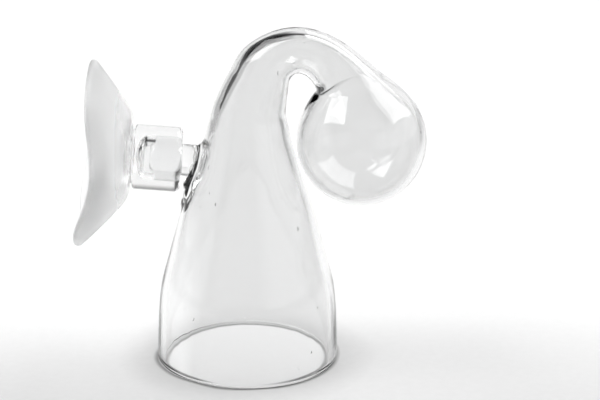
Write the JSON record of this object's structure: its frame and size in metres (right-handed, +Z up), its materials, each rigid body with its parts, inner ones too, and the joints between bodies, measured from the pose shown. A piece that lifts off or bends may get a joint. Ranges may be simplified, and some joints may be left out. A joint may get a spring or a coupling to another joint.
{
  "type": "aquarium CO2 drop checker",
  "caption": "Glass bell with a swan neck and a round reagent bulb, hung on an aquarium wall by a soft suction cup on a peg.",
  "frame": {"origin": "centre of the bell's mouth, in the plane of its rim", "axes": "+Z up along the bell's axis, +X towards the reagent bulb, -X towards the suction cup, symmetric about the XZ plane"},
  "size_m": [0.0569, 0.0304, 0.0568],
  "materials": {
    "clear_glass": "gloss",
    "clear_silicone": "satin"
  },
  "bodies": {
    "glassware": {"bell": "clear_glass", "swan_neck": "clear_glass", "reagent_bulb": "clear_glass", "hanging_peg": "clear_glass"},
    "cup": {"suction_cup": "clear_silicone"}
  },
  "joints": [
    {"name": "cup_swivel", "type": "hinge", "parent": "glassware", "child": "cup", "pos_m": [-0.0108, 0, 0.03426], "axis": [-0.9976, 0, 0.0698], "continuous": true}
  ]
}
